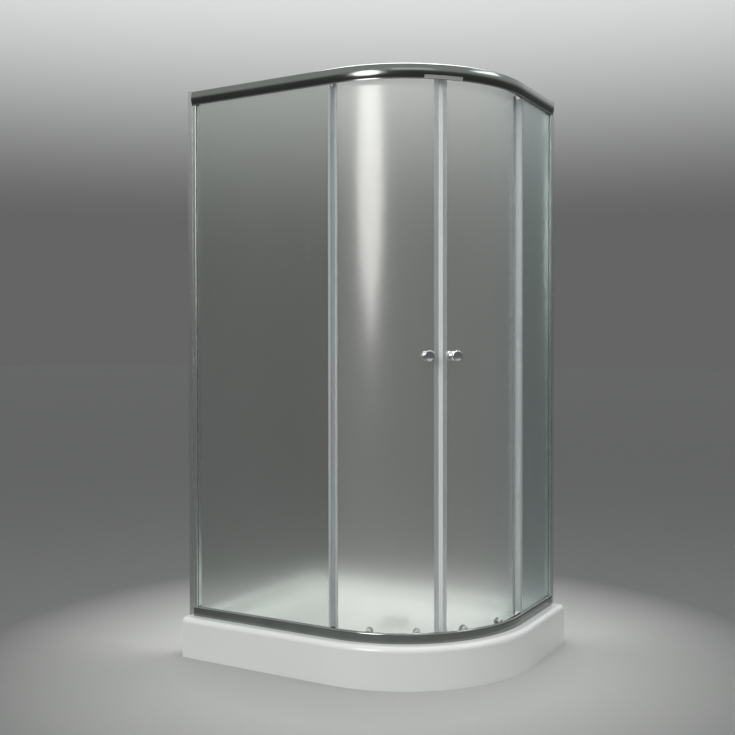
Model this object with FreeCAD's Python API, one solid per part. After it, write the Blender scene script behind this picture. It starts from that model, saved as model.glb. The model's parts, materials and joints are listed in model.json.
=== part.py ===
"""Offset quadrant shower enclosure: tray, rails, fixed panels and two curved sliding doors.

Frame: millimetres, +Z up, origin on the floor under the centre of the tray's plan box.
+X runs along the long side, the two wall faces are at the -X and +Y ends, and the
rounded corner points to (+X, -Y).

Two plan measures are used all through:
  inset  distance inwards from the tray's outer edge,
  depth  distance inwards from the rails' outer face (inset = RAIL_INSET + depth).
Pieces on the arc are drawn at the left tangent point, where +X is along the arc and
depth runs along +Y, and are then turned about the arc's centre.
"""
import FreeCAD, Part
import math
import os
from FreeCAD import Vector

os.makedirs("parts", exist_ok=True)

# ---------------------------------------------------------------- tray
TRAY_LENGTH = 1200.0
TRAY_WIDTH = 900.0
TRAY_RADIUS = 550.0
TRAY_HEIGHT = 150.0
TRAY_SKIN = 6.0
TRAY_EDGE_RADIUS = 20.0
REAR_RIM_DROP = 30.0          # height of the downturned rim on the two wall sides
BASIN_INSET = 96.0            # front rim, which carries the rails
BASIN_WALL_GAP = 52.0         # rim along the walls
BASIN_DEPTH = 48.0
BASIN_DRAFT = 22.0            # how far the basin's sides lean in, in plan
BASIN_CORNER_RADIUS = 70.0
BASIN_TOP_RADIUS = 9.0
BASIN_FOOT_RADIUS = 14.0
CUT_SPARE = 1.0               # how far a cutting shape runs past what it cuts

# ---------------------------------------------------------------- waste
WASTE_X = 40.0
WASTE_Y = 70.0
WASTE_HOLE_RADIUS = 45.0
WASTE_DISH_RADIUS = 130.0
WASTE_DISH_DEPTH = 5.0
FLANGE_RADIUS = 57.0
FLANGE_THICKNESS = 2.5
COVER_RADIUS = 53.0
COVER_LIFT = 3.5              # water gap under the cover
COVER_EDGE = 1.2
COVER_CROWN = 5.3
TRAP_RADIUS = 50.0
TRAP_WALL = 3.0
TRAP_FLOOR_HEIGHT = 14.0      # underside of the trap above the floor
PIPE_RADIUS = 20.0            # the 40 mm waste pipe that plugs in
PIPE_CLEARANCE = 0.2
PIPE_SOCKET_DEPTH = 30.0
OUTLET_BORE = 17.0
OUTLET_WALL = 3.8
OUTLET_REACH = 130.0          # from the waste's axis to the stub's end
OUTLET_HEIGHT = 49.0
OUTLET_NUT_LENGTH = 24.0
OUTLET_NUT_WALL = 7.0
OUTLET_NUT_GROOVES = 8
OUTLET_NUT_FLANGE = 3.0       # flange that holds the pipe's seal
OUTLET_NUT_CHAMFER = 2.0
NUT_GROOVE_RADIUS = 4.0
NUT_GROOVE_SHIFT = 1.0        # groove's axis outside the nut

# ---------------------------------------------------------------- feet
BOARD_THICKNESS = 12.0
BOARD_MARGIN = 16.0           # board edge inside the basin's foot
DISH_GAP = 1.0                # board to the waste dish
FOOT_PAD_RADIUS = 24.0
FOOT_PAD_HEIGHT = 10.0
STUD_RADIUS = 5.0
NUT_WIDTH = 17.0              # across flats
NUT_HEIGHT = 7.0
SOCKET_RADIUS = 16.0
SOCKET_HEIGHT = 22.0
SOCKET_TAPER = 4.0
SOCKET_FLANGE = 6.0           # flange against the board, beyond the socket
SOCKET_FLANGE_THICKNESS = 4.0
STUD_END_GAP = 2.0            # stud's top under the board
PAD_RIM_HEIGHT = 3.3
PAD_SHOULDER_RADIUS = 17.3
PAD_SHOULDER_HEIGHT = 6.3
PAD_NECK_RADIUS = 11.2
FOOT_EDGE_GAP = 175.0         # foot axis to the tray's edge
THREAD_CLEARANCE = 0.15

# ---------------------------------------------------------------- enclosure frame
RAIL_INSET = 44.0
GLASS_THICKNESS = 5.0
FIXED_GLASS_DEPTH = 8.0       # outer face of the fixed glass
DOOR_GLASS_DEPTH = 35.2       # outer face of the door glass
VISIBLE_HEIGHT = 1910.0       # glass seen between the rails
BOTTOM_RAIL_HEIGHT = 37.0
TOP_RAIL_HEIGHT = 53.0
RAIL_WALL = 2.0
RIB = 1.5
TOP_RAIL_BULGE = 5.5
TOP_LIP = 4.0                 # height of the top rail's plain lower lip
TOP_LIP_CHAMFER = 1.0
TOP_SHOULDER = 5.0            # height of the top rail's rounded shoulder
TOP_SHOULDER_LEAN = 1.0       # how far the bulge still stands out at the shoulder
TOP_FLAT_START = 4.5          # depth at which the rail's flat top starts
RAIL_SHOULDER = 10.0          # height of the bottom rail's rounded shoulder
LEDGE_OUT = 32.5              # depth at which the roller ledge's lip starts
LEDGE_LIP = 3.0
BOTTOM_LEDGE_RISE = 22.0      # top of the lower ledge above the tray rim
TOP_LEDGE_DROP = 36.0         # top of the upper ledge below the rail's top
GROOVE_GAP_OUT = 1.0          # glass to the groove's outer wall
GROOVE_GAP_IN = 1.5
GROOVE_FLOOR = 5.0
RIB_RISE = 8.0                # groove's inner wall above the lower ledge
TOP_GROOVE_RISE = 15.0        # foot of the upper groove's outer wall above the rail's foot
GUTTER_HEIGHT = 8.0
WEEP_LENGTH = 24.0
WEEP_COUNT = 5

# ---------------------------------------------------------------- wall profiles and posts
WALL_PROFILE_LENGTH = 20.0    # how far the channel stands off the wall
WALL_PROFILE_WIDTH = 32.0
PROFILE_WALL = 1.8
POST_START = 5.0              # post's back face off the wall
POST_END = 35.0
POST_CLEARANCE = 0.3
POST_WALL = 1.6
POST_GROOVE_LENGTH = 10.0
GLASS_IN_POST = 8.0
WALL_HOLE_RADIUS = 3.0
WALL_HOLE_END = 200.0         # first and last wall hole from the profile's ends
WALL_HOLE_ROWS = 4
PROFILE_CAP = 2.0
POST_EDGE = 1.2               # rounded front edge of a post
CLAMP_SHARES = (0.12, 0.5, 0.88)
CLAMP_SCREW_BITE = 2.0        # clamp screw past the post's wall
GLASS_SEAT = 2.0              # rubber under the fixed glass
GLASS_TOP_GAP = 4.0
CORNER_SCREW_RADIUS = 2.0
CORNER_SCREW_BITE = 20.0      # screw length in the post
CLAMP_SCREW_RADIUS = 1.75
SCREW_HEAD_RADIUS = 3.6
SCREW_HEAD_HEIGHT = 2.4

# ---------------------------------------------------------------- doors
DOOR_TRAVEL = 25.0            # degrees about the arc's centre
DOOR_END_BEHIND = 22.0        # door's rear edge behind the tangent point
GLASS_OVER_AXLE = 14.0        # glass beyond the roller axles, top and bottom
ROLLER_ANGLES = (14.3, 34.5)  # degrees from the tangent point
WHEEL_RADIUS = 11.0
WHEEL_WIDTH = 5.0
WHEEL_DEPTH = 17.0            # outer side of the wheel
WHEEL_LIFT = 0.3              # running gap over the ledge
AXLE_RADIUS = 3.0
AXLE_CLEARANCE = 0.06
STEM_RADIUS = 6.0             # where the stem goes through the glass
COLLAR_RADIUS = 6.8
ROLLER_CAP_RADIUS = 13.0
ROLLER_CAP_HEIGHT = 9.0
ROLLER_CAP_SKIRT = 2.0
ROLLER_CAP_CROWN = 4.0        # solid crown over the thread's end
WHEEL_HUB_WALL = 2.2
WHEEL_RIM = 2.6
WHEEL_RECESS = 1.0
WHEEL_CHAMFER = 0.7
AXLE_HEAD = 1.0               # how much wider the axle's head is
AXLE_HEAD_START = 0.8         # head's face before the wheel's
AXLE_HEAD_GAP = 0.1
COLLAR_GAP = 0.3              # wheel to collar
STOP_LENGTH = 14.0
STOP_HEIGHT = 9.0
STOP_GAP = 1.0                # rear roller to the stop at the end of travel

# ---------------------------------------------------------------- seals
SEAL_WALL = 1.3
FIXED_SEAL_START = 25.0       # before the tangent point
FIXED_SEAL_END = 15.0
FIXED_SEAL_BITE = 12.0        # glass held by the seal
FIN = 1.5
FIN_ROOT = 0.2                # fin's bite into its clip
SEAL_GAP = 0.5
SEAL_CLIP_SHORT = 3.0         # inner leg of the fixed seal's clip, shorter than the outer
FIN_CLEARANCE = 1.5           # fin's foot over the passing lower rollers
REAR_SEAL_LENGTH = 17.0
MAGNET_SEAL_LENGTH = 23.0
MAGNET_CHAMBER = 7.0          # part of the magnetic seal ahead of the glass
MAGNET_WIDTH = 5.0
MAGNET_THICKNESS = 3.0
MAGNET_END_GAP = 1.0
MEETING_GAP = 0.25            # each door short of the middle
SEAL_END_GAP = 4.0
PLUG_LENGTH = 14.0
PLUG_RISE = 2.5
PLUG_CHAMFER = 1.5

# ---------------------------------------------------------------- knobs
KNOB_ABOVE_TRAY = 996.0
KNOB_FROM_MEETING = 48.0      # along the arc
KNOB_BASE_RADIUS = 17.0
KNOB_WAIST_RADIUS = 8.0
KNOB_HEAD_RADIUS = 19.0
KNOB_REACH = 38.0
KNOB_BASE_RIM = 2.0
KNOB_NECK = 8.0               # length of the flare from the base to the waist
KNOB_WAIST = 16.0             # waist from the seat
KNOB_HEAD_THICKNESS = 10.0
KNOB_HEAD_RIM = 3.5
KNOB_FACE_RADIUS = 16.0
KNOB_FACE_DOME = 1.6          # hollow of the head's face
KNOB_INNER_REACH = 24.0
KNOB_INNER_WAIST = 12.0
KNOB_BOLT_BITE = 9.0          # bolt length in the inner knob
KNOB_BOLT_RADIUS = 3.0
KNOB_HOLE_RADIUS = 5.0
KNOB_WASHER = 1.0

# ---------------------------------------------------------------- worked-out places
WALL_X = -TRAY_LENGTH / 2
WALL_Y = TRAY_WIDTH / 2
ARC_X = TRAY_LENGTH / 2 - TRAY_RADIUS
ARC_Y = -TRAY_WIDTH / 2 + TRAY_RADIUS
ARC_CENTRE = Vector(ARC_X, ARC_Y, 0)
UP = Vector(0, 0, 1)
RAIL_RADIUS = TRAY_RADIUS - RAIL_INSET
RAIL_FACE_Y = -TRAY_WIDTH / 2 + RAIL_INSET
BOTTOM_RAIL_TOP = TRAY_HEIGHT + BOTTOM_RAIL_HEIGHT
TOP_RAIL_FOOT = BOTTOM_RAIL_TOP + VISIBLE_HEIGHT
TOTAL_HEIGHT = TOP_RAIL_FOOT + TOP_RAIL_HEIGHT
BASIN_FLOOR = TRAY_HEIGHT - BASIN_DEPTH
TRAY_UNDERSIDE = BASIN_FLOOR - TRAY_SKIN
GROOVE_START = FIXED_GLASS_DEPTH - GROOVE_GAP_OUT
GROOVE_END = FIXED_GLASS_DEPTH + GLASS_THICKNESS + GROOVE_GAP_IN
RIB_BACK = GROOVE_END + RIB
DOOR_GLASS_BACK = DOOR_GLASS_DEPTH + GLASS_THICKNESS
RAIL_DEPTH = DOOR_GLASS_BACK
BOTTOM_LEDGE = TRAY_HEIGHT + BOTTOM_LEDGE_RISE
TOP_LEDGE = TOTAL_HEIGHT - TOP_LEDGE_DROP
LOWER_AXLE = BOTTOM_LEDGE + WHEEL_LIFT + WHEEL_RADIUS
UPPER_AXLE = TOP_LEDGE + WHEEL_LIFT + WHEEL_RADIUS
KNOB_Z = TRAY_HEIGHT + KNOB_ABOVE_TRAY
QUARTER = 90.0                # the rails' arc, in degrees
MEETING_ANGLE = QUARTER / 2
RIB_TOP = BOTTOM_LEDGE + RIB_RISE
PIPE_SOCKET = PIPE_RADIUS + PIPE_CLEARANCE
OUTLET_RADIUS = PIPE_SOCKET + OUTLET_WALL


# ---------------------------------------------------------------- helpers
def save(name, *shapes):
    """Write one node's solids to its own file."""
    solids = [solid for shape in shapes for solid in shape.Solids]
    for solid in solids:
        if not solid.isValid() or solid.Volume <= 0:
            print("BAD SOLID in", name)
    node = solids[0] if len(solids) == 1 else Part.makeCompound(solids)
    node.exportStep("parts/" + name + ".step")
    print(name, len(solids), "solid(s)", round(sum(s.Volume for s in solids) / 1000, 2), "cm3")


def outline_face(start, steps, plane):
    """Close an outline of lines and three-point arcs; plane(a, b) gives its points."""
    edges = []
    here = start
    last = steps[-1][1] if isinstance(steps[-1][0], tuple) else steps[-1]
    closing = [] if last == start else [start]
    for step in list(steps) + closing:
        if isinstance(step[0], tuple):
            edges.append(Part.Arc(plane(*here), plane(*step[0]), plane(*step[1])).toShape())
            here = step[1]
        else:
            edges.append(Part.LineSegment(plane(*here), plane(*step)).toShape())
            here = step
    return Part.Face(Part.Wire(edges))


def section_plane(depth, z):
    """A point of a rail's cross-section, in the plane across the left tangent point."""
    return Vector(ARC_X, RAIL_FACE_Y + depth, z)


def flat(z):
    """Plane of a horizontal cross-section at height z."""
    return lambda x, y: Vector(x, y, z)


def box(x0, x1, y0, y1, z0, z1):
    """Box between two corners, given in any order."""
    low = Vector(min(x0, x1), min(y0, y1), min(z0, z1))
    return Part.makeBox(abs(x1 - x0), abs(y1 - y0), abs(z1 - z0), low)


def turn(shape, angle):
    """Turn a copy about the arc's upright axis, anticlockwise from above."""
    copy = shape.copy()
    copy.rotate(ARC_CENTRE, UP, angle)
    return copy


def mirror(shape):
    """Mirror across the upright plane through the middle of the arc."""
    half = math.radians(MEETING_ANGLE)
    return shape.mirror(ARC_CENTRE, Vector(math.cos(half), math.sin(half), 0))


def band(depth0, depth1, angle0, angle1, z0, z1):
    """Curved wall between two depths, two angles and two heights."""
    corners = [(depth1, z0), (depth1, z1), (depth0, z1)]
    face = outline_face((depth0, z0), corners, section_plane)
    face.rotate(ARC_CENTRE, UP, angle0)
    return face.revolve(ARC_CENTRE, UP, angle1 - angle0)


def arc_degrees(length, depth):
    """Angle that a length along the arc takes up at a depth."""
    return math.degrees(length / (RAIL_RADIUS - depth))


def inward_rod(x, z, depth0, depth1, radius):
    """Round rod along the depth direction, drawn at the left tangent point."""
    start = Vector(x, RAIL_FACE_Y + depth0, z)
    return Part.makeCylinder(radius, depth1 - depth0, start, Vector(0, 1, 0))


def turned(start, steps, z):
    """Turned piece on a radial axis at height z: outline in (radius, depth)."""
    plane = lambda radius, depth: Vector(ARC_X + radius, RAIL_FACE_Y + depth, z)
    face = outline_face(start, steps, plane)
    return face.revolve(Vector(ARC_X, RAIL_FACE_Y, z), Vector(0, 1, 0), 360)


def upright(start, steps, x, y):
    """Turned piece on an upright axis: outline in (radius, z)."""
    plane = lambda radius, z: Vector(x + radius, y, z)
    face = outline_face(start, steps, plane)
    return face.revolve(Vector(x, y, 0), UP, 360)


def sweep_rail(face, left_end, right_end):
    """Run a section along the straight, the quarter arc and the other straight."""
    left = face.extrude(Vector(left_end - ARC_X, 0, 0))
    arc = face.revolve(ARC_CENTRE, UP, QUARTER)
    right = turn(face, QUARTER).extrude(Vector(0, right_end - ARC_Y, 0))
    return left.fuse([arc, right]).removeSplitter()


def plan_outline(inset, wall_gap, z, radius=0.0):
    """Closed tray outline; with a radius, its three square corners are rounded."""
    left = WALL_X + wall_gap
    front = -TRAY_WIDTH / 2 + inset
    right = TRAY_LENGTH / 2 - inset
    back = WALL_Y - wall_gap
    bend = TRAY_RADIUS - inset
    mid = bend * math.sqrt(0.5)
    cut = radius * (1 - math.sqrt(0.5))
    arc = ((ARC_X + mid, ARC_Y - mid), (right, ARC_Y))
    if radius == 0:
        steps = [(ARC_X, front), arc, (right, back), (left, back)]
        return outline_face((left, front), steps, flat(z))
    steps = [
        (ARC_X, front),
        arc,
        (right, back - radius),
        ((right - cut, back - cut), (right - radius, back)),
        (left + radius, back),
        ((left + cut, back - cut), (left, back - radius)),
        (left, front + radius),
        ((left + cut, front + cut), (left + radius, front)),
    ]
    return outline_face((left + radius, front), steps, flat(z))


def hexagon(width, z0, height, x, y):
    """Upright hexagonal prism, width across flats."""
    corner = width / math.sqrt(3)
    turns = [math.radians(60 * k) for k in range(6)]
    points = [(x + corner * math.cos(a), y + corner * math.sin(a)) for a in turns]
    return outline_face(points[0], points[1:], flat(z0)).extrude(Vector(0, 0, height))


# ---------------------------------------------------------------- tray and its feet
def basin(grow, floor, top):
    """Drafted basin space, grown by the skin for the outside of the basin."""
    upper = plan_outline(BASIN_INSET - grow, BASIN_WALL_GAP - grow, top, BASIN_CORNER_RADIUS)
    inset = BASIN_INSET + BASIN_DRAFT - grow
    gap = BASIN_WALL_GAP + BASIN_DRAFT - grow
    lower = plan_outline(inset, gap, floor, BASIN_CORNER_RADIUS)
    return Part.makeLoft([lower.OuterWire, upper.OuterWire], True, True)


def edges_at(shape, z):
    """Edges that lie wholly at one height."""
    found = []
    for edge in shape.Edges:
        bounds = edge.BoundBox
        if abs(bounds.ZMin - z) < 0.001 and abs(bounds.ZMax - z) < 0.001:
            found.append(edge)
    return found


def make_tray():
    body = plan_outline(0, 0, 0).extrude(Vector(0, 0, TRAY_HEIGHT))
    front = []
    for edge in edges_at(body, TRAY_HEIGHT):
        middle = edge.valueAt((edge.FirstParameter + edge.LastParameter) / 2)
        if middle.x > WALL_X + CUT_SPARE and middle.y < WALL_Y - CUT_SPARE:
            front.append(edge)
    body = body.makeFillet(TRAY_EDGE_RADIUS, front)
    lid = TRAY_HEIGHT - TRAY_SKIN
    inside = plan_outline(TRAY_SKIN, TRAY_SKIN, 0).extrude(Vector(0, 0, lid))
    step = TRAY_EDGE_RADIUS - TRAY_SKIN
    inner_front = []
    for edge in edges_at(inside, lid):
        middle = edge.valueAt((edge.FirstParameter + edge.LastParameter) / 2)
        reach = TRAY_SKIN + CUT_SPARE
        if middle.x > WALL_X + reach and middle.y < WALL_Y - reach:
            inner_front.append(edge)
    inside = inside.makeFillet(step, inner_front)
    drop = TRAY_HEIGHT - REAR_RIM_DROP
    spare = CUT_SPARE
    open_back = plan_outline(TRAY_SKIN, -spare, -spare).extrude(Vector(0, 0, drop + spare))
    shell = body.cut(inside.fuse(open_back))
    pocket = basin(0, BASIN_FLOOR, TRAY_HEIGHT)
    pocket = pocket.makeFillet(BASIN_FOOT_RADIUS, edges_at(pocket, BASIN_FLOOR))
    outside = basin(TRAY_SKIN, TRAY_UNDERSIDE, TRAY_HEIGHT)
    dish_top = Vector(WASTE_X, WASTE_Y, BASIN_FLOOR)
    down = Vector(0, 0, -1)
    dish = Part.makeCone(WASTE_DISH_RADIUS, FLANGE_RADIUS, WASTE_DISH_DEPTH, dish_top, down)
    pad_start = Vector(WASTE_X, WASTE_Y, TRAY_UNDERSIDE - WASTE_DISH_DEPTH)
    pad = Part.makeCylinder(WASTE_DISH_RADIUS + TRAY_SKIN, WASTE_DISH_DEPTH, pad_start)
    hole = Part.makeCylinder(WASTE_HOLE_RADIUS, TRAY_HEIGHT, Vector(WASTE_X, WASTE_Y, 0))
    tray = shell.fuse([outside, pad]).cut(pocket).cut(dish).cut(hole).removeSplitter()
    rim = [edge for edge in edges_at(tray, TRAY_HEIGHT) if on_basin_rim(edge)]
    return tray.makeFillet(BASIN_TOP_RADIUS, rim)


def on_basin_rim(edge):
    """True for the edges of the basin's mouth, and not for the tray's outer edges."""
    middle = edge.valueAt((edge.FirstParameter + edge.LastParameter) / 2)
    from_arc = (middle - Vector(ARC_X, ARC_Y, TRAY_HEIGHT)).Length
    near = BASIN_WALL_GAP / 2
    clear_of_walls = middle.x > WALL_X + near and middle.y < WALL_Y - near
    clear_of_front = middle.y > -TRAY_WIDTH / 2 + RAIL_INSET
    clear_of_side = middle.x < TRAY_LENGTH / 2 - RAIL_INSET
    on_arc = middle.x > ARC_X and middle.y < ARC_Y
    clear_of_arc = not on_arc or from_arc < RAIL_RADIUS
    return clear_of_walls and clear_of_front and clear_of_side and clear_of_arc


def make_board():
    inset = BASIN_INSET + BASIN_DRAFT + BOARD_MARGIN
    gap = BASIN_WALL_GAP + BASIN_DRAFT + BOARD_MARGIN
    face = plan_outline(inset, gap, TRAY_UNDERSIDE - BOARD_THICKNESS, BASIN_CORNER_RADIUS)
    board = face.extrude(Vector(0, 0, BOARD_THICKNESS))
    start = Vector(WASTE_X, WASTE_Y, 0)
    hole = Part.makeCylinder(WASTE_DISH_RADIUS + TRAY_SKIN + DISH_GAP, TRAY_HEIGHT, start)
    return board.cut(hole)


def foot_places():
    """Two rows of feet, and one under the rounded corner."""
    left = WALL_X + FOOT_EDGE_GAP
    right = TRAY_LENGTH / 2 - FOOT_EDGE_GAP
    front = -TRAY_WIDTH / 2 + FOOT_EDGE_GAP
    back = WALL_Y - FOOT_EDGE_GAP
    diagonal = (TRAY_RADIUS - FOOT_EDGE_GAP) * math.sqrt(0.5)
    middle = WASTE_X - WASTE_DISH_RADIUS - 2 * FOOT_PAD_RADIUS
    return [
        (left, front),
        (left, back),
        (middle, back),
        (right, back),
        (ARC_X - FOOT_EDGE_GAP / 2, front),
        (ARC_X + diagonal, ARC_Y - diagonal),
    ]


def make_feet():
    board_foot = TRAY_UNDERSIDE - BOARD_THICKNESS
    socket_foot = board_foot - SOCKET_HEIGHT
    stud_foot = FOOT_PAD_HEIGHT / 2
    stud_length = board_foot - STUD_END_GAP - stud_foot
    flange_foot = board_foot - SOCKET_FLANGE_THICKNESS
    flange = SOCKET_RADIUS + SOCKET_FLANGE
    thread = STUD_RADIUS + THREAD_CLEARANCE
    sockets, studs, nuts, pads = [], [], [], []
    for x, y in foot_places():
        steps = [(SOCKET_RADIUS - SOCKET_TAPER, socket_foot), (SOCKET_RADIUS, flange_foot)]
        steps += [(flange, flange_foot), (flange, board_foot), (thread, board_foot)]
        sockets.append(upright((thread, socket_foot), steps, x, y))
        studs.append(Part.makeCylinder(STUD_RADIUS, stud_length, Vector(x, y, stud_foot)))
        nut = hexagon(NUT_WIDTH, socket_foot - NUT_HEIGHT, NUT_HEIGHT, x, y)
        bore = Part.makeCylinder(thread, TRAY_HEIGHT, Vector(x, y, 0))
        nuts.append(nut.cut(bore))
        top = FOOT_PAD_HEIGHT
        steps = [(FOOT_PAD_RADIUS, 0), (FOOT_PAD_RADIUS, PAD_RIM_HEIGHT)]
        steps += [((PAD_SHOULDER_RADIUS, PAD_SHOULDER_HEIGHT), (PAD_NECK_RADIUS, top))]
        steps += [(thread, top), (thread, stud_foot), (0, stud_foot)]
        pads.append(upright((0, 0), steps, x, y))
    return sockets, studs, nuts, pads


# ---------------------------------------------------------------- waste
FLANGE_SEAT = BASIN_FLOOR - WASTE_DISH_DEPTH
FLANGE_TOP = FLANGE_SEAT + FLANGE_THICKNESS
TRAY_WASTE_UNDERSIDE = FLANGE_SEAT - TRAY_SKIN
WASTE_SEAL = 3.0
COLLAR_OUT = WASTE_HOLE_RADIUS - 1.0
COLLAR_WALL = 2.5
COLLAR_DEPTH = 24.0
CUP_RIM = 2.0
CUP_RADIUS = 31.0
CUP_WALL = 2.0
CUP_DROP = 42.0
FLANGE_EDGE = 1.0             # width of the rounded edge, under half the thickness
FLANGE_MOUTH = 1.0            # chamfer round the flange's mouth
CUP_LEDGE = 3.0               # ledge inside the collar, which carries the cup
CUP_LEDGE_THICKNESS = 2.0
CUP_CLEARANCE = 0.4
SEAL_CLEARANCE = 0.3          # collar to the seal's bore
POT_CLEARANCE = 0.2           # collar to the pot's bore
POT_CHAMFER = 8.0
POT_FOOT_STEP = 5.0
CLAMP_THICKNESS = 4.0         # clamp flange on top of the pot
COVER_BEVEL = 1.0
COVER_FEET = 4
COVER_FOOT_RADIUS = 2.5


def make_waste_flange():
    """Ring in the dish, with a collar down through the tray and a ledge for the cup."""
    collar_in = COLLAR_OUT - COLLAR_WALL
    foot = FLANGE_SEAT - COLLAR_DEPTH
    ledge = foot + CUP_LEDGE_THICKNESS
    ledge_in = collar_in - CUP_LEDGE
    shoulder = FLANGE_RADIUS - FLANGE_EDGE
    middle = (FLANGE_SEAT + FLANGE_TOP) / 2
    steps = [(COLLAR_OUT, FLANGE_SEAT), (shoulder, FLANGE_SEAT)]
    steps += [((FLANGE_RADIUS, middle), (shoulder, FLANGE_TOP))]
    steps += [(collar_in + FLANGE_MOUTH, FLANGE_TOP), (collar_in, FLANGE_TOP - FLANGE_MOUTH)]
    steps += [(collar_in, ledge), (ledge_in, ledge), (ledge_in, foot)]
    return upright((COLLAR_OUT, foot), steps, WASTE_X, WASTE_Y)


def make_waste_seal():
    foot = TRAY_WASTE_UNDERSIDE - WASTE_SEAL
    steps = [(FLANGE_RADIUS, foot), (FLANGE_RADIUS, TRAY_WASTE_UNDERSIDE)]
    bore = COLLAR_OUT + SEAL_CLEARANCE
    steps += [(bore, TRAY_WASTE_UNDERSIDE)]
    return upright((bore, foot), steps, WASTE_X, WASTE_Y)


def make_waste_body():
    """Trap pot with a clamp flange on top and the outlet stub towards the rear wall."""
    top = TRAY_WASTE_UNDERSIDE - WASTE_SEAL
    inner = COLLAR_OUT + POT_CLEARANCE
    floor = TRAP_FLOOR_HEIGHT
    corner = floor + POT_CHAMFER
    clamp = top - CLAMP_THICKNESS
    inside = floor + TRAP_WALL
    steps = [(TRAP_RADIUS - POT_CHAMFER, floor), (TRAP_RADIUS, corner), (TRAP_RADIUS, clamp)]
    steps += [(FLANGE_RADIUS, clamp), (FLANGE_RADIUS, top), (inner, top)]
    steps += [(inner, corner), (inner - POT_FOOT_STEP, inside), (0, inside)]
    pot = upright((0, floor), steps, WASTE_X, WASTE_Y)
    stub = outlet_rod(OUTLET_RADIUS, 0, OUTLET_REACH)
    room = Part.makeCylinder(inner, top - corner, Vector(WASTE_X, WASTE_Y, corner))
    bore = outlet_rod(OUTLET_BORE, 0, OUTLET_REACH)
    socket = outlet_rod(PIPE_SOCKET, OUTLET_REACH - PIPE_SOCKET_DEPTH, OUTLET_REACH)
    return pot.fuse(stub.cut(room)).cut([bore, socket]).removeSplitter()


def outlet_rod(radius, reach0, reach1):
    """Round rod on the outlet's axis, between two distances from the waste's axis."""
    start = Vector(WASTE_X, WASTE_Y + reach0, OUTLET_HEIGHT)
    return Part.makeCylinder(radius, reach1 - reach0, start, Vector(0, 1, 0))


def make_trap_cup():
    """Lift-out cup that hangs from the flange's ledge and holds the water seal."""
    ledge = FLANGE_SEAT - COLLAR_DEPTH + CUP_LEDGE_THICKNESS
    rim = COLLAR_OUT - COLLAR_WALL - CUP_CLEARANCE
    top = ledge + CUP_RIM
    foot = ledge - CUP_DROP
    inner = CUP_RADIUS - CUP_WALL
    steps = [(CUP_RADIUS, ledge), (rim, ledge), (rim, top), (inner, top), (inner, foot)]
    return upright((CUP_RADIUS, foot), steps, WASTE_X, WASTE_Y)


def make_waste_cover():
    """Domed cover on four small feet that stand on the flange."""
    seat = FLANGE_TOP + COVER_LIFT
    edge = seat + COVER_EDGE
    ball = (COVER_RADIUS ** 2 + COVER_CROWN ** 2) / (2 * COVER_CROWN)
    half = COVER_RADIUS / 2
    crown = edge + COVER_CROWN
    steps = [(COVER_RADIUS - COVER_BEVEL, seat), (COVER_RADIUS, edge)]
    steps += [((half, crown - ball + math.sqrt(ball ** 2 - half ** 2)), (0, crown))]
    cover = upright((0, seat), steps, WASTE_X, WASTE_Y)
    reach = (COLLAR_OUT + FLANGE_RADIUS) / 2 - 2 * FLANGE_EDGE
    for k in range(COVER_FEET):
        angle = math.radians(360 * (k + 0.5) / COVER_FEET)
        x = WASTE_X + reach * math.cos(angle)
        y = WASTE_Y + reach * math.sin(angle)
        start = Vector(x, y, FLANGE_TOP)
        foot = Part.makeCylinder(COVER_FOOT_RADIUS, COVER_LIFT + COVER_EDGE, start)
        cover = cover.fuse(foot)
    return cover.removeSplitter()


def make_outlet_nut():
    """Grooved nut on the stub's thread, whose end flange holds the pipe's seal."""
    outer = OUTLET_RADIUS + OUTLET_NUT_WALL
    tip = OUTLET_REACH + OUTLET_NUT_FLANGE
    back = tip - OUTLET_NUT_LENGTH
    nut = outlet_rod(outer, back, tip)
    nut = nut.makeChamfer(OUTLET_NUT_CHAMFER, [e for e in nut.Edges if e.Length > outer])
    groove = outlet_rod(NUT_GROOVE_RADIUS, back, tip)
    groove.translate(Vector(outer + NUT_GROOVE_SHIFT, 0, 0))
    axis = Vector(WASTE_X, 0, OUTLET_HEIGHT)
    for k in range(OUTLET_NUT_GROOVES):
        copy = groove.copy()
        copy.rotate(axis, Vector(0, 1, 0), 360 * k / OUTLET_NUT_GROOVES)
        nut = nut.cut(copy)
    thread = outlet_rod(OUTLET_RADIUS + THREAD_CLEARANCE, back, OUTLET_REACH + PIPE_CLEARANCE)
    return nut.cut([thread, outlet_rod(PIPE_SOCKET, back, tip)])


# ---------------------------------------------------------------- rails
LEFT_RAIL_END = WALL_X + WALL_PROFILE_LENGTH
RIGHT_RAIL_END = WALL_Y - WALL_PROFILE_LENGTH


def corner_room(z0, z1):
    """Space in a rail's two ends for the corner blocks."""
    depth0 = RAIL_WALL + POST_CLEARANCE
    depth1 = WALL_PROFILE_WIDTH - PROFILE_WALL - POST_CLEARANCE
    y0 = RAIL_FACE_Y + depth0
    y1 = RAIL_FACE_Y + depth1
    left = box(LEFT_RAIL_END, WALL_X + POST_END, y0, y1, z0, z1)
    x0 = TRAY_LENGTH / 2 - RAIL_INSET - depth0
    x1 = TRAY_LENGTH / 2 - RAIL_INSET - depth1
    right = box(x0, x1, RIGHT_RAIL_END, WALL_Y - POST_END, z0, z1)
    return left, right


def corner_screw_axes():
    """Plan places of the upright screw in each post."""
    along = (WALL_PROFILE_LENGTH + POST_END) / 2
    depth = (GROOVE_END + WALL_PROFILE_WIDTH - PROFILE_WALL) / 2
    left = (WALL_X + along, RAIL_FACE_Y + depth)
    right = (TRAY_LENGTH / 2 - RAIL_INSET - depth, WALL_Y - along)
    return left, right


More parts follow.
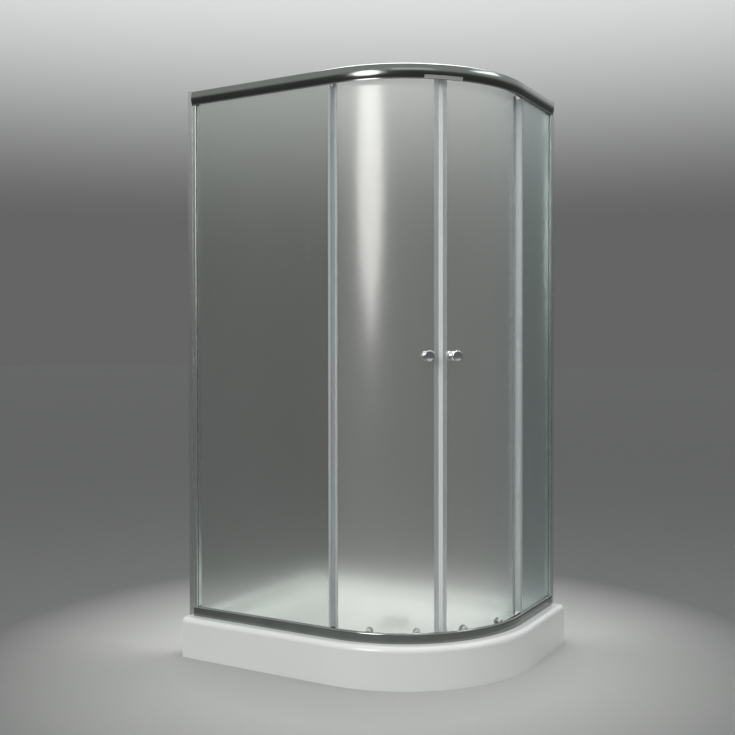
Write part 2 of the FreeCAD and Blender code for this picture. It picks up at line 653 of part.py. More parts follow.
def countersunk(place, z_face, inwards, length, spare):
    """Countersunk screw from a rail's face; inwards is +1 or -1 along Z."""
    start = Vector(place[0], place[1], z_face)
    way = Vector(0, 0, inwards)
    shank = Part.makeCylinder(CORNER_SCREW_RADIUS + spare, length, start, way)
    wide = SCREW_HEAD_RADIUS + spare
    head = Part.makeCone(wide, CORNER_SCREW_RADIUS + spare, RAIL_WALL, start, way)
    return shank.fuse(head).removeSplitter()


def drill_web(rail, z_face, inwards):
    """Countersunk holes through a rail's web, over both corner blocks."""
    for place in corner_screw_axes():
        rail = rail.cut(countersunk(place, z_face, inwards, RAIL_WALL + CUT_SPARE, THREAD_CLEARANCE))
    return rail


def make_bottom_rail():
    z0 = TRAY_HEIGHT
    z1 = BOTTOM_RAIL_TOP
    groove = GROOVE_START
    shoulder = z1 - RAIL_SHOULDER
    gutter_in = RAIL_DEPTH - RIB
    lip_top = BOTTOM_LEDGE + LEDGE_LIP
    lip_back = LEDGE_OUT + RIB
    ledge_foot = BOTTOM_LEDGE - RAIL_WALL
    steps = [
        (0, shoulder),
        ((groove * 0.23, z1 - RAIL_SHOULDER * 0.32), (groove * 0.85, z1)),
        (groove, z1),
        (groove, z0 + GROOVE_FLOOR),
        (GROOVE_END, z0 + GROOVE_FLOOR),
        (GROOVE_END, RIB_TOP),
        (RIB_BACK, RIB_TOP),
        (RIB_BACK, BOTTOM_LEDGE),
        (LEDGE_OUT, BOTTOM_LEDGE),
        (LEDGE_OUT, lip_top),
        (lip_back, lip_top),
        (lip_back, ledge_foot),
        (RIB_BACK, ledge_foot),
        (RIB_BACK, z0 + RAIL_WALL),
        (gutter_in, z0 + RAIL_WALL),
        (gutter_in, z0 + GUTTER_HEIGHT),
        (RAIL_DEPTH, z0 + GUTTER_HEIGHT),
        (RAIL_DEPTH, z0),
    ]
    face = outline_face((0, z0), steps, section_plane)
    inner = groove - RIB
    high = shoulder + RAIL_WALL
    low = shoulder - RAIL_WALL
    chamber = [(inner, z0 + GROOVE_FLOOR), (inner, high), (RAIL_WALL, low)]
    hollow = outline_face((RAIL_WALL, z0 + GROOVE_FLOOR), chamber, section_plane)
    rail = sweep_rail(face.cut(hollow).Faces[0], LEFT_RAIL_END, RIGHT_RAIL_END)
    rail = rail.cut(list(corner_room(z0 + RAIL_WALL, z1)))
    depth0 = gutter_in - CUT_SPARE
    depth1 = RAIL_DEPTH + CUT_SPARE
    weep = arc_degrees(WEEP_LENGTH, RAIL_DEPTH)
    for k in range(WEEP_COUNT):
        middle = QUARTER * (k + 0.5) / WEEP_COUNT
        top = z0 + GUTTER_HEIGHT + CUT_SPARE
        slot = band(depth0, depth1, middle - weep / 2, middle + weep / 2, z0 + RAIL_WALL, top)
        rail = rail.cut(slot)
    return drill_web(rail, z0, 1)


def make_top_rail():
    z0 = TOP_RAIL_FOOT
    z1 = TOTAL_HEIGHT
    web = z1 - RAIL_WALL
    lip = z0 + TOP_LIP
    shoulder = z1 - TOP_SHOULDER
    middle = (lip + shoulder) / 2
    ledge_foot = TOP_LEDGE - RAIL_WALL
    groove_in = GROOVE_START - RIB
    groove_foot = z0 + TOP_GROOVE_RISE
    lip_top = TOP_LEDGE + LEDGE_LIP
    lip_back = LEDGE_OUT + RIB
    steps = [
        (0, lip),
        ((-TOP_RAIL_BULGE, middle), (-TOP_SHOULDER_LEAN, shoulder)),
        ((TOP_FLAT_START * 0.18, z1 - TOP_SHOULDER * 0.24), (TOP_FLAT_START, z1)),
        (RAIL_DEPTH, z1),
        (RAIL_DEPTH, web),
        (RIB_BACK, web),
        (RIB_BACK, TOP_LEDGE),
        (LEDGE_OUT, TOP_LEDGE),
        (LEDGE_OUT, lip_top),
        (lip_back, lip_top),
        (lip_back, ledge_foot),
        (GROOVE_END, ledge_foot),
        (GROOVE_END, web),
        (GROOVE_START, web),
        (GROOVE_START, groove_foot),
        (groove_in, groove_foot),
        (groove_in, web),
        (2 * RAIL_WALL, web),
        ((RAIL_WALL - TOP_RAIL_BULGE, middle), (RAIL_WALL, lip + TOP_LIP_CHAMFER)),
        (RAIL_WALL, z0),
    ]
    face = outline_face((0, z0), steps, section_plane)
    rail = sweep_rail(face, LEFT_RAIL_END, RIGHT_RAIL_END)
    rail = rail.cut(list(corner_room(z0, web)))
    return drill_web(rail, z1, -1)


def make_corner_blocks():
    """Moulded blocks in the rails' ends, slotted for the glass and bored for a screw."""
    low = corner_room(TRAY_HEIGHT + RAIL_WALL, BOTTOM_RAIL_TOP)
    high = corner_room(TOP_RAIL_FOOT, TOTAL_HEIGHT - RAIL_WALL)
    back = POST_END - POST_GROOVE_LENGTH
    cuts = []
    for plane in (left_plane, right_plane):
        end = POST_END + CUT_SPARE
        steps = [(end, GROOVE_START), (end, GROOVE_END), (back, GROOVE_END)]
        slot = outline_face((back, GROOVE_START), steps, plane(0))
        cuts.append(slot.extrude(Vector(0, 0, TOTAL_HEIGHT)))
    for x, y in corner_screw_axes():
        radius = CORNER_SCREW_RADIUS + THREAD_CLEARANCE
        cuts.append(Part.makeCylinder(radius, TOTAL_HEIGHT, Vector(x, y, 0)))
    return [block.cut(cuts) for block in low + high]


def make_corner_screws():
    low = BOTTOM_RAIL_HEIGHT + CORNER_SCREW_BITE
    high = TOP_RAIL_HEIGHT + CORNER_SCREW_BITE
    screws = []
    for place in corner_screw_axes():
        screws.append(countersunk(place, TRAY_HEIGHT, 1, low, 0))
        screws.append(countersunk(place, TOTAL_HEIGHT, -1, high, 0))
    return screws


# ---------------------------------------------------------------- wall profiles and posts
def left_plane(z):
    """Profile plane at the left wall: distance off the wall, depth."""
    return lambda off, depth: Vector(WALL_X + off, RAIL_FACE_Y + depth, z)


def right_plane(z):
    """Profile plane at the rear wall: distance off the wall, depth."""
    edge = TRAY_LENGTH / 2 - RAIL_INSET
    return lambda off, depth: Vector(edge - depth, WALL_Y - off, z)


def clamp_heights():
    return [BOTTOM_RAIL_TOP + VISIBLE_HEIGHT * share for share in CLAMP_SHARES]


def wall_hole_heights():
    first = TRAY_HEIGHT + WALL_HOLE_END
    last = TOTAL_HEIGHT - WALL_HOLE_END
    gap = (last - first) / (WALL_HOLE_ROWS - 1)
    return [first + gap * k for k in range(WALL_HOLE_ROWS)]


def clamp_rod(plane, z, radius, depth0, depth1):
    """Round rod across a wall profile, at the middle of the overlap with the post."""
    off = (POST_START + WALL_PROFILE_LENGTH) / 2
    start = plane(z)(off, depth0)
    end = plane(z)(off, depth1)
    return Part.makeCylinder(radius, depth1 - depth0, start, end - start)


def make_wall_profile(plane):
    length = WALL_PROFILE_LENGTH
    width = WALL_PROFILE_WIDTH
    wall = PROFILE_WALL
    steps = [
        (length, 0),
        (length, wall),
        (wall, wall),
        (wall, width - wall),
        (length, width - wall),
        (length, width),
        (0, width),
    ]
    face = outline_face((0, 0), steps, plane(TRAY_HEIGHT))
    profile = face.extrude(Vector(0, 0, TOTAL_HEIGHT - PROFILE_CAP - TRAY_HEIGHT))
    for z in wall_hole_heights():
        start = plane(z)(-CUT_SPARE, width / 2)
        end = plane(z)(wall + CUT_SPARE, width / 2)
        run = end - start
        profile = profile.cut(Part.makeCylinder(WALL_HOLE_RADIUS, run.Length, start, run))
    for z in clamp_heights():
        radius = CLAMP_SCREW_RADIUS + THREAD_CLEARANCE
        hole = clamp_rod(plane, z, radius, width - wall - CUT_SPARE, width + CUT_SPARE)
        profile = profile.cut(hole)
    return profile


def make_profile_cap(plane):
    """Small cover on the top end of a wall profile."""
    steps = [(WALL_PROFILE_LENGTH, 0), (WALL_PROFILE_LENGTH, WALL_PROFILE_WIDTH)]
    steps += [(0, WALL_PROFILE_WIDTH)]
    face = outline_face((0, 0), steps, plane(TOTAL_HEIGHT - PROFILE_CAP))
    return face.extrude(Vector(0, 0, PROFILE_CAP))


def make_post(plane):
    """Hollow post with a glass groove and a screw channel behind it."""
    depth0 = PROFILE_WALL + POST_CLEARANCE
    depth1 = WALL_PROFILE_WIDTH - PROFILE_WALL - POST_CLEARANCE
    groove_back = POST_END - POST_GROOVE_LENGTH
    bend = POST_EDGE * (1 - math.sqrt(0.5))
    steps = [
        (POST_END - POST_EDGE, depth0),
        ((POST_END - bend, depth0 + bend), (POST_END, depth0 + POST_EDGE)),
        (POST_END, GROOVE_START),
        (groove_back, GROOVE_START),
        (groove_back, GROOVE_END),
        (POST_END, GROOVE_END),
        (POST_END, depth1),
        (POST_START, depth1),
    ]
    z0 = BOTTOM_RAIL_TOP
    face = outline_face((POST_START, depth0), steps, plane(z0))
    wall = POST_WALL
    room = [(groove_back - wall, depth0 + wall), (groove_back - wall, depth1 - wall)]
    room += [(POST_START + wall, depth1 - wall)]
    hollow = outline_face((POST_START + wall, depth0 + wall), room, plane(z0))
    face = face.cut(hollow).Faces[0]
    post = face.extrude(Vector(0, 0, VISIBLE_HEIGHT))
    for z in clamp_heights():
        radius = CLAMP_SCREW_RADIUS + THREAD_CLEARANCE
        hole = clamp_rod(plane, z, radius, depth1 - wall - CUT_SPARE, depth1 + CUT_SPARE)
        post = post.cut(hole)
    for x, y in corner_screw_axes():
        channel = Part.makeCylinder(CORNER_SCREW_RADIUS, VISIBLE_HEIGHT, Vector(x, y, z0))
        post = post.cut(channel)
    return post


def make_clamp_screws(plane):
    screws = []
    post_back = WALL_PROFILE_WIDTH - PROFILE_WALL - POST_CLEARANCE
    inner = post_back - POST_WALL - CLAMP_SCREW_BITE
    width = WALL_PROFILE_WIDTH
    for z in clamp_heights():
        shank = clamp_rod(plane, z, CLAMP_SCREW_RADIUS, inner, width)
        head = clamp_rod(plane, z, SCREW_HEAD_RADIUS, width, width + SCREW_HEAD_HEIGHT)
        screws.append(shank.fuse(head).removeSplitter())
    return screws


# ---------------------------------------------------------------- fixed panels
GLASS_FOOT = TRAY_HEIGHT + GROOVE_FLOOR + GLASS_SEAT
GLASS_TOP = TOTAL_HEIGHT - RAIL_WALL - GLASS_TOP_GAP
FIXED_GLASS_STOP = FIXED_SEAL_END + SEAL_WALL


def make_fixed_glass(plane, reach):
    """Flat pane from the post's groove to just before the tangent point."""
    start = POST_END - GLASS_IN_POST
    depth1 = FIXED_GLASS_DEPTH + GLASS_THICKNESS
    steps = [(reach, FIXED_GLASS_DEPTH), (reach, depth1), (start, depth1)]
    face = outline_face((start, FIXED_GLASS_DEPTH), steps, plane(GLASS_FOOT))
    return face.extrude(Vector(0, 0, GLASS_TOP - GLASS_FOOT))


def make_gaskets(plane, reach):
    """U strips round the pane: in the post, in the bottom groove and in the top groove."""
    depth0 = FIXED_GLASS_DEPTH
    depth1 = FIXED_GLASS_DEPTH + GLASS_THICKNESS
    back = POST_END - POST_GROOVE_LENGTH
    start = POST_END - GLASS_IN_POST
    steps = [
        (POST_END, GROOVE_START),
        (POST_END, depth0),
        (start, depth0),
        (start, depth1),
        (POST_END, depth1),
        (POST_END, GROOVE_END),
        (back, GROOVE_END),
    ]
    upright_strip = outline_face((back, GROOVE_START), steps, plane(BOTTOM_RAIL_TOP))
    strips = [upright_strip.extrude(Vector(0, 0, VISIBLE_HEIGHT))]
    stop = reach - FIXED_SEAL_BITE
    high_foot = TOP_LEDGE - RAIL_WALL
    levels = [(TRAY_HEIGHT + GROOVE_FLOOR, RIB_TOP), (high_foot, TOTAL_HEIGHT - RAIL_WALL)]
    for z0, z1 in levels:
        steps = [(stop, GROOVE_START), (stop, GROOVE_END), (POST_END, GROOVE_END)]
        outer = outline_face((POST_END, GROOVE_START), steps, plane(z0))
        strip = outer.extrude(Vector(0, 0, z1 - z0))
        strips.append(strip.cut(make_fixed_glass(plane, reach)))
    return strips


def make_fixed_seal():
    """Clip on the free edge of the left pane; its fin ends over the lower rollers."""
    x0 = ARC_X - FIXED_SEAL_START
    x1 = ARC_X - FIXED_SEAL_END
    glass_stop = ARC_X - FIXED_GLASS_STOP
    y = RAIL_FACE_Y
    out0 = y + FIXED_GLASS_DEPTH - SEAL_WALL
    out1 = y + FIXED_GLASS_DEPTH + GLASS_THICKNESS + SEAL_WALL
    in0 = y + FIXED_GLASS_DEPTH
    in1 = y + FIXED_GLASS_DEPTH + GLASS_THICKNESS
    tip = y + DOOR_GLASS_DEPTH - SEAL_WALL - SEAL_GAP
    fin0 = x1 - FIN
    steps = [
        (x1, out0),
        (x1, tip),
        (fin0, tip),
        (fin0, out1),
        (x0 + SEAL_CLIP_SHORT, out1),
        (x0 + SEAL_CLIP_SHORT, in1),
        (glass_stop, in1),
        (glass_stop, in0),
        (x0, in0),
    ]
    z0 = BOTTOM_RAIL_TOP + PLUG_RISE
    z1 = TOP_RAIL_FOOT - PLUG_RISE
    seal = outline_face((x0, out0), steps, flat(z0)).extrude(Vector(0, 0, z1 - z0))
    fin_foot = LOWER_AXLE + WHEEL_RADIUS + FIN_CLEARANCE
    return seal.cut(box(fin0, x1, out1, tip, z0, fin_foot))


def make_seal_plugs():
    """Plugs in the rail grooves where the left pane ends, below and above."""
    x0 = ARC_X - FIXED_GLASS_STOP
    x1 = x0 + PLUG_LENGTH
    y0 = RAIL_FACE_Y + GROOVE_START
    y1 = RAIL_FACE_Y + GROOVE_END
    lower = box(x0, x1, y0, y1, TRAY_HEIGHT + GROOVE_FLOOR, BOTTOM_RAIL_TOP + PLUG_RISE)
    lower = lower.makeChamfer(PLUG_CHAMFER, edges_at(lower, BOTTOM_RAIL_TOP + PLUG_RISE))
    upper = box(x0, x1, y0, y1, TOP_RAIL_FOOT + TOP_GROOVE_RISE, TOTAL_HEIGHT - RAIL_WALL)
    spread = arc_degrees(2 * PLUG_LENGTH, GROOVE_START)
    room = band(GROOVE_START, GROOVE_END, 0, spread, TRAY_HEIGHT, TOTAL_HEIGHT)
    straight = box(x0, ARC_X, y0, y1, TRAY_HEIGHT, TOTAL_HEIGHT)
    return [plug.common(room.fuse(straight)).removeSplitter() for plug in (lower, upper)]


def make_door_stop():
    """Rubber block on the upper ledge that the rear roller meets at the end of travel."""
    wheel_middle = WHEEL_DEPTH + WHEEL_WIDTH / 2
    swing = math.radians(DOOR_TRAVEL - ROLLER_ANGLES[0])
    run = (RAIL_RADIUS - wheel_middle) * math.sin(swing)
    x1 = ARC_X - run - WHEEL_RADIUS - STOP_GAP
    y0 = RAIL_FACE_Y + RIB_BACK
    y1 = RAIL_FACE_Y + LEDGE_OUT
    return box(x1 - STOP_LENGTH, x1, y0, y1, TOP_LEDGE, TOP_LEDGE + STOP_HEIGHT)


# ---------------------------------------------------------------- doors
SEAL_Z0 = BOTTOM_LEDGE + LEDGE_LIP + SEAL_END_GAP
SEAL_Z1 = TOP_LEDGE - RAIL_WALL - SEAL_END_GAP
DOOR_START = -arc_degrees(DOOR_END_BEHIND, DOOR_GLASS_DEPTH)
DOOR_STOP = MEETING_ANGLE - arc_degrees(MAGNET_CHAMBER + MEETING_GAP, DOOR_GLASS_DEPTH)
KNOB_ANGLE = MEETING_ANGLE - arc_degrees(KNOB_FROM_MEETING, DOOR_GLASS_DEPTH)


def make_door_glass():
    foot = LOWER_AXLE - GLASS_OVER_AXLE
    top = UPPER_AXLE + GLASS_OVER_AXLE
    pane = band(DOOR_GLASS_DEPTH, DOOR_GLASS_BACK, DOOR_START, DOOR_STOP, foot, top)
    before = DOOR_GLASS_DEPTH - CUT_SPARE
    beyond = DOOR_GLASS_BACK + CUT_SPARE
    for angle in ROLLER_ANGLES:
        for z in (LOWER_AXLE, UPPER_AXLE):
            hole = inward_rod(ARC_X, z, before, beyond, STEM_RADIUS)
            pane = pane.cut(turn(hole, angle))
    hole = inward_rod(ARC_X, KNOB_Z, before, beyond, KNOB_HOLE_RADIUS)
    return pane.cut(turn(hole, KNOB_ANGLE))


def make_magnet_seal():
    """Clip on the door's leading edge with the chamber that holds the magnet."""
    depth0 = DOOR_GLASS_DEPTH - SEAL_WALL
    depth1 = DOOR_GLASS_BACK + SEAL_WALL
    angle1 = MEETING_ANGLE - arc_degrees(MEETING_GAP, DOOR_GLASS_DEPTH)
    angle0 = MEETING_ANGLE - arc_degrees(MAGNET_SEAL_LENGTH, DOOR_GLASS_DEPTH)
    clip = band(depth0, depth1, angle0, angle1, SEAL_Z0, SEAL_Z1)
    pane = band(DOOR_GLASS_DEPTH, DOOR_GLASS_BACK, angle0 - 1, DOOR_STOP, SEAL_Z0, SEAL_Z1)
    return clip.cut(pane).cut(magnet_room(0.0))


def magnet_room(end_gap):
    """Space of the magnet strip in the seal's chamber."""
    wide = MAGNET_WIDTH / 2
    middle = (DOOR_GLASS_DEPTH + DOOR_GLASS_BACK) / 2
    back = arc_degrees(MEETING_GAP + SEAL_WALL + MAGNET_THICKNESS, middle)
    front = arc_degrees(MEETING_GAP + SEAL_WALL, middle)
    angle0 = MEETING_ANGLE - back
    angle1 = MEETING_ANGLE - front
    return band(middle - wide, middle + wide, angle0, angle1, SEAL_Z0 + end_gap, SEAL_Z1 - end_gap)


def make_rear_seal():
    """Clip on the door's rear edge with a fin out towards the fixed seal."""
    depth0 = DOOR_GLASS_DEPTH - SEAL_WALL
    depth1 = DOOR_GLASS_BACK + SEAL_WALL
    angle0 = DOOR_START - arc_degrees(SEAL_WALL, DOOR_GLASS_DEPTH)
    angle1 = angle0 + arc_degrees(REAR_SEAL_LENGTH, DOOR_GLASS_DEPTH)
    clip = band(depth0, depth1, angle0, angle1, SEAL_Z0, SEAL_Z1)
    pane = band(DOOR_GLASS_DEPTH, DOOR_GLASS_BACK, DOOR_START, angle1 + 1, SEAL_Z0, SEAL_Z1)
    tip = FIXED_GLASS_DEPTH + GLASS_THICKNESS + SEAL_WALL + SEAL_GAP
    fin_front = FIXED_SEAL_END + FIN + 2 * SEAL_GAP
    fin0 = -arc_degrees(fin_front + FIN, DOOR_GLASS_DEPTH)
    fin1 = -arc_degrees(fin_front, DOOR_GLASS_DEPTH)
    z0 = BOTTOM_RAIL_TOP + PLUG_RISE
    z1 = TOP_RAIL_FOOT - PLUG_RISE
    fin = band(tip, depth0 + FIN_ROOT, fin0, fin1, z0, z1)
    return clip.cut(pane).fuse(fin).removeSplitter()


def make_roller_stem(z):
    """Axle, collar and threaded stem through the glass, on one radial axis."""
    collar = WHEEL_DEPTH + WHEEL_WIDTH + COLLAR_GAP
    head0 = WHEEL_DEPTH - AXLE_HEAD_START
    head1 = WHEEL_DEPTH - AXLE_HEAD_GAP
    thread_end = DOOR_GLASS_BACK + ROLLER_CAP_HEIGHT - ROLLER_CAP_CROWN
    steps = [
        (AXLE_RADIUS + AXLE_HEAD, head0),
        (AXLE_RADIUS + AXLE_HEAD, head1),
        (AXLE_RADIUS, head1),
        (AXLE_RADIUS, collar),
        (COLLAR_RADIUS, collar),
        (COLLAR_RADIUS, DOOR_GLASS_DEPTH),
        (STEM_RADIUS, DOOR_GLASS_DEPTH),
        (STEM_RADIUS, DOOR_GLASS_BACK),
        (AXLE_RADIUS, DOOR_GLASS_BACK),
        (AXLE_RADIUS, thread_end),
        (0, thread_end),
    ]
    return turned((0, head0), steps, z)


def clear_of_glass(shape, z, reach):
    """Trim a flat-backed piece on the hollow side of the curved glass."""
    spread = arc_degrees(reach, DOOR_GLASS_BACK)
    pane = band(DOOR_GLASS_DEPTH, DOOR_GLASS_BACK, -spread, spread, z - reach, z + reach)
    return shape.cut(pane)


def make_roller_cap(z):
    """Domed nut on the shower side of the glass."""
    base = DOOR_GLASS_BACK
    top = base + ROLLER_CAP_HEIGHT
    bore = AXLE_RADIUS
    bore_end = top - ROLLER_CAP_CROWN
    skirt = base + ROLLER_CAP_SKIRT
    steps = [
        (bore, bore_end),
        (0, bore_end),
        (0, top),
        ((ROLLER_CAP_RADIUS * 0.7, (2 * top + skirt) / 3), (ROLLER_CAP_RADIUS, skirt)),
        (ROLLER_CAP_RADIUS, base),
    ]
    return clear_of_glass(turned((bore, base), steps, z), z, 2 * ROLLER_CAP_RADIUS)


def make_wheel(z):
    """Grooveless nylon wheel with a recessed web and a bearing hub."""
    inner = AXLE_RADIUS + AXLE_CLEARANCE
    hub = AXLE_RADIUS + WHEEL_HUB_WALL
    rim = WHEEL_RADIUS - WHEEL_RIM
    edge = WHEEL_RADIUS - WHEEL_CHAMFER
    face0 = WHEEL_DEPTH
    face1 = WHEEL_DEPTH + WHEEL_WIDTH
    steps = [
        (hub, face0),
        (hub, face0 + WHEEL_RECESS),
        (rim, face0 + WHEEL_RECESS),
        (rim, face0),
        (edge, face0),
        (WHEEL_RADIUS, face0 + WHEEL_CHAMFER),
        (WHEEL_RADIUS, face1 - WHEEL_CHAMFER),
        (edge, face1),
        (rim, face1),
        (rim, face1 - WHEEL_RECESS),
        (hub, face1 - WHEEL_RECESS),
        (hub, face1),
        (inner, face1),
    ]
    return turned((inner, face0), steps, z)


def make_knob_outer():
    """Spool-shaped knob with its bolt through the glass."""
    seat = DOOR_GLASS_DEPTH - KNOB_WASHER
    tip = seat - KNOB_REACH
    face = tip + KNOB_FACE_DOME
    waist = seat - KNOB_WAIST
    head_back = tip + KNOB_HEAD_THICKNESS
    neck = (KNOB_WAIST_RADIUS + KNOB_HEAD_RADIUS) / 2
    root = seat - KNOB_WAIST + KNOB_NECK
    rim = seat - KNOB_BASE_RIM
    bolt_end = DOOR_GLASS_BACK + KNOB_WASHER + KNOB_BOLT_BITE
    edge = (KNOB_FACE_RADIUS + KNOB_HEAD_RADIUS) / 2
    steps = [
        ((KNOB_FACE_RADIUS / 2, (3 * face + tip) / 4), (KNOB_FACE_RADIUS, tip)),
        ((edge + 1, tip + 1), (KNOB_HEAD_RADIUS, tip + KNOB_HEAD_RIM)),
        ((KNOB_HEAD_RADIUS - 1.2, head_back - 3), (neck, head_back)),
        ((KNOB_WAIST_RADIUS + 1, waist - 5), (KNOB_WAIST_RADIUS, waist)),
        ((KNOB_WAIST_RADIUS + 2.6, root), (KNOB_BASE_RADIUS - 1, rim - 1)),
        (KNOB_BASE_RADIUS, rim),
        (KNOB_BASE_RADIUS, seat),
        (KNOB_BOLT_RADIUS, seat),
        (KNOB_BOLT_RADIUS, bolt_end),
        (0, bolt_end),
    ]
    return turn(turned((0, face), steps, KNOB_Z), KNOB_ANGLE)


def make_knob_inner():
    """Smaller knob on the shower side, screwed on the bolt."""
    seat = DOOR_GLASS_BACK + KNOB_WASHER
    bolt_end = seat + KNOB_BOLT_BITE
    tip = seat + KNOB_INNER_REACH
    waist = seat + KNOB_INNER_WAIST
    radius = KNOB_BASE_RADIUS
    steps = [
        (radius, seat),
        (radius, seat + KNOB_BASE_RIM),
        ((radius - 4, waist - 6), (KNOB_WAIST_RADIUS, waist)),
        ((KNOB_WAIST_RADIUS + 3, tip - 7), (radius - 2, tip - 5)),
        ((radius - 0.5, tip - 3), (radius - 3, tip)),
        (0, tip),
        (0, bolt_end),
        (KNOB_BOLT_RADIUS, bolt_end),
    ]
    return turn(turned((KNOB_BOLT_RADIUS, seat), steps, KNOB_Z), KNOB_ANGLE)


def make_knob_washers():
    """Clear washers each side of the glass; the outer one has a sleeve in the hole."""
    radius = KNOB_BASE_RADIUS - KNOB_WASHER
    out = DOOR_GLASS_DEPTH - KNOB_WASHER
    steps = [
        (radius, out),
        (radius, DOOR_GLASS_DEPTH),
        (KNOB_HOLE_RADIUS, DOOR_GLASS_DEPTH),
        (KNOB_HOLE_RADIUS, DOOR_GLASS_BACK),
        (KNOB_BOLT_RADIUS, DOOR_GLASS_BACK),
    ]
    outer = turned((KNOB_BOLT_RADIUS, out), steps, KNOB_Z)
    back = DOOR_GLASS_BACK
    steps = [(radius, back), (radius, back + KNOB_WASHER), (KNOB_BOLT_RADIUS, back + KNOB_WASHER)]
    inner = turned((KNOB_BOLT_RADIUS, back), steps, KNOB_Z)
    inner = clear_of_glass(inner, KNOB_Z, 2 * radius)
    return [turn(outer, KNOB_ANGLE), turn(inner, KNOB_ANGLE)]


# ---------------------------------------------------------------- build
def build_tray():
    save("tray_shell", make_tray())
    save("tray_board", make_board())
    sockets, studs, nuts, pads = make_feet()
    save("foot_sockets", *sockets)
    save("foot_studs", *studs)
    save("foot_nuts", *nuts)
    save("foot_pads", *pads)
    save("waste_flange", make_waste_flange())
    save("waste_seal", make_waste_seal())
    save("waste_body", make_waste_body())
    save("waste_outlet_nut", make_outlet_nut())
    save("trap_cup", make_trap_cup())
    save("waste_cover", make_waste_cover())


def build_frame():
    save("bottom_rail", make_bottom_rail())
    save("top_rail", make_top_rail())
    save("corner_blocks", *make_corner_blocks())
    save("corner_screws", *make_corner_screws())
    save("wall_profile_left", make_wall_profile(left_plane))
    save("wall_profile_right", make_wall_profile(right_plane))
    save("profile_caps", make_profile_cap(left_plane), make_profile_cap(right_plane))
    save("side_post_left", make_post(left_plane))
    save("side_post_right", make_post(right_plane))
    save("post_screws", *make_clamp_screws(left_plane), *make_clamp_screws(right_plane))
    long_reach = ARC_X - FIXED_GLASS_STOP - WALL_X
    short_reach = WALL_Y - ARC_Y - FIXED_GLASS_STOP
    save("fixed_glass_left", make_fixed_glass(left_plane, long_reach))
    save("fixed_glass_right", make_fixed_glass(right_plane, short_reach))
    save("glazing_gasket_left", *make_gaskets(left_plane, long_reach))
    save("glazing_gasket_right", *make_gaskets(right_plane, short_reach))
    seal = make_fixed_seal()
    save("fixed_seal_left", seal)
    save("fixed_seal_right", mirror(seal))
    plugs = make_seal_plugs()
    save("seal_plugs", *plugs, *[mirror(plug) for plug in plugs])
    stop = make_door_stop()
    save("door_stops", stop, mirror(stop))


def build_door(side, hand):
    """One door; hand turns left-door shapes into this side's shapes."""
    stems = {z: [turn(make_roller_stem(z), a) for a in ROLLER_ANGLES] for z in (LOWER_AXLE, UPPER_AXLE)}
    caps = []
    for z in (LOWER_AXLE, UPPER_AXLE):
        caps += [turn(make_roller_cap(z), angle) for angle in ROLLER_ANGLES]
    save("door_glass_" + side, hand(make_door_glass()))
    save("magnet_seal_" + side, hand(make_magnet_seal()))
    save("magnet_strip_" + side, hand(magnet_room(MAGNET_END_GAP)))
    save("rear_seal_" + side, hand(make_rear_seal()))
    save("roller_stems_top_" + side, *[hand(s) for s in stems[UPPER_AXLE]])
    save("roller_stems_bottom_" + side, *[hand(s) for s in stems[LOWER_AXLE]])
    save("roller_caps_" + side, *[hand(cap) for cap in caps])
    save("knob_outer_" + side, hand(make_knob_outer()))
    save("knob_inner_" + side, hand(make_knob_inner()))
    save("knob_washers_" + side, *[hand(washer) for washer in make_knob_washers()])
    for level, z in (("top", UPPER_AXLE), ("bottom", LOWER_AXLE)):
        for place, angle in zip(("rear", "front"), ROLLER_ANGLES):
            wheel = hand(turn(make_wheel(z), angle))
            save("wheel_" + level + "_" + place + "_" + side, wheel)


build_tray()
build_frame()
build_door("left", lambda shape: shape)
build_door("right", mirror)
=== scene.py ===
import json
import math

import bmesh
import bpy
from mathutils import Matrix, Vector


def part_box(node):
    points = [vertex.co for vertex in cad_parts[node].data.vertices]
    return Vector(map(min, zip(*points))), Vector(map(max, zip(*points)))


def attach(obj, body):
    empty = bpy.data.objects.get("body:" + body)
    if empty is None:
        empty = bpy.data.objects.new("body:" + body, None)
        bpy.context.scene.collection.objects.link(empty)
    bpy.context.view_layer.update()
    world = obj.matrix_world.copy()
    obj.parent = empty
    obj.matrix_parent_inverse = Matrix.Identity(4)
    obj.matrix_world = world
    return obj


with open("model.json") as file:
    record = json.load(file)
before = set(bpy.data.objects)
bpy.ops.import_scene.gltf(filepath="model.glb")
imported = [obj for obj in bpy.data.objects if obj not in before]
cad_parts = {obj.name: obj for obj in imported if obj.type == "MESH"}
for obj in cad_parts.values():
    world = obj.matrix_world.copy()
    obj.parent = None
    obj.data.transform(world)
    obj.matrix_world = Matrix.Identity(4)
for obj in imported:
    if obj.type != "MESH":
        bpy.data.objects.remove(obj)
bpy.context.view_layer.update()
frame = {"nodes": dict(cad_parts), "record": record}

# ---------------------------------------------------------------- places, in metres
ARC_CENTRE = Vector((0.05, 0.10, 0.0))                          # of the quadrant, in plan
GLASS_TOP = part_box("top_rail")[0].z
MEETING_ALONG = Vector((math.sqrt(0.5), math.sqrt(0.5), 0.0))   # across the doors' meeting plane
MEETING_ANGLE = math.radians(-45)                               # where the doors meet on the arc

# ---------------------------------------------------------------- camera
# Angles in radians, focal length and principal point in pixels, sensor width in millimetres.
CAMERA_PLACE = Vector((1.8962, -3.3907, 1.1654))
CAMERA_YAW = -0.5208
CAMERA_PITCH = -0.0165
CAMERA_ROLL = -0.0011
PICTURE_SIDE = 735
FOCAL_LENGTH = 1000.7
PRINCIPAL_POINT = (366.5, 367.0)
SENSOR_WIDTH = 36.0


